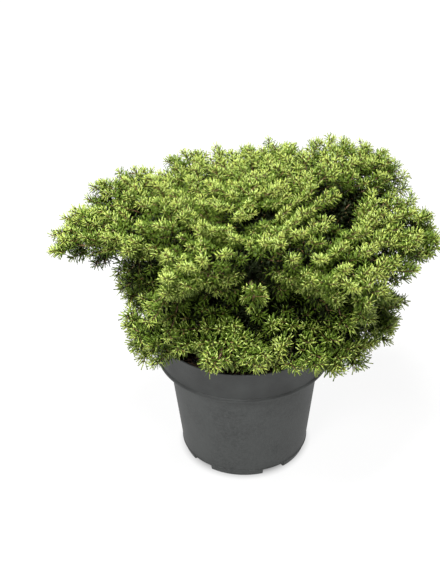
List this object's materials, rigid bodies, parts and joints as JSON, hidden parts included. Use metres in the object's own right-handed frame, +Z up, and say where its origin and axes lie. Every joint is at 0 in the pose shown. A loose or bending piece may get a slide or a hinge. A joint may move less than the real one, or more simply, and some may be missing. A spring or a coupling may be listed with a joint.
{
  "type": "potted dwarf norway spruce",
  "caption": "Low, wide evergreen conifer cushion of needled sprays on short boughs and a short trunk, in a round tapered nursery pot with a deep collar and feet.",
  "frame": {"origin": "middle of the pot's flat underside, on the surface that the plant stands on", "axes": "+Z up, +X to the right of the plant's front, which faces -Y"},
  "size_m": [0.4114, 0.3151, 0.33],
  "materials": {
    "pot_plastic": "matte",
    "compost": "matte",
    "bark": "matte",
    "needles": "matte"
  },
  "bodies": {
    "root": {"pot": "pot_plastic", "compost": "compost", "trunk": "bark", "top_bough_1": "bark", "top_bough_2": "bark", "top_bough_3": "bark", "top_bough_4": "bark", "top_bough_5": "bark", "shelf_bough_1": "bark", "shelf_bough_2": "bark", "shelf_bough_3": "bark", "shelf_bough_4": "bark", "shelf_bough_5": "bark", "shelf_bough_6": "bark", "shelf_bough_7": "bark", "shelf_bough_8": "bark", "shelf_bough_9": "bark", "skirt_bough_1": "bark", "skirt_bough_2": "bark", "skirt_bough_3": "bark", "skirt_bough_4": "bark", "skirt_bough_5": "bark", "skirt_bough_6": "bark", "skirt_bough_7": "bark", "skirt_bough_8": "bark", "top_mass_1": "needles", "top_mass_2": "needles", "top_mass_3": "needles", "top_mass_4": "needles", "top_mass_5": "needles", "shelf_mass_1": "needles", "shelf_mass_2": "needles", "shelf_mass_3": "needles", "shelf_mass_4": "needles", "shelf_mass_5": "needles", "shelf_mass_6": "needles", "shelf_mass_7": "needles", "shelf_mass_8": "needles", "shelf_mass_9": "needles", "skirt_mass_1": "needles", "skirt_mass_2": "needles", "skirt_mass_3": "needles", "skirt_mass_4": "needles", "skirt_mass_5": "needles", "skirt_mass_6": "needles", "skirt_mass_7": "needles", "skirt_mass_8": "needles", "crown_mass_1": "needles"}
  },
  "joints": []
}
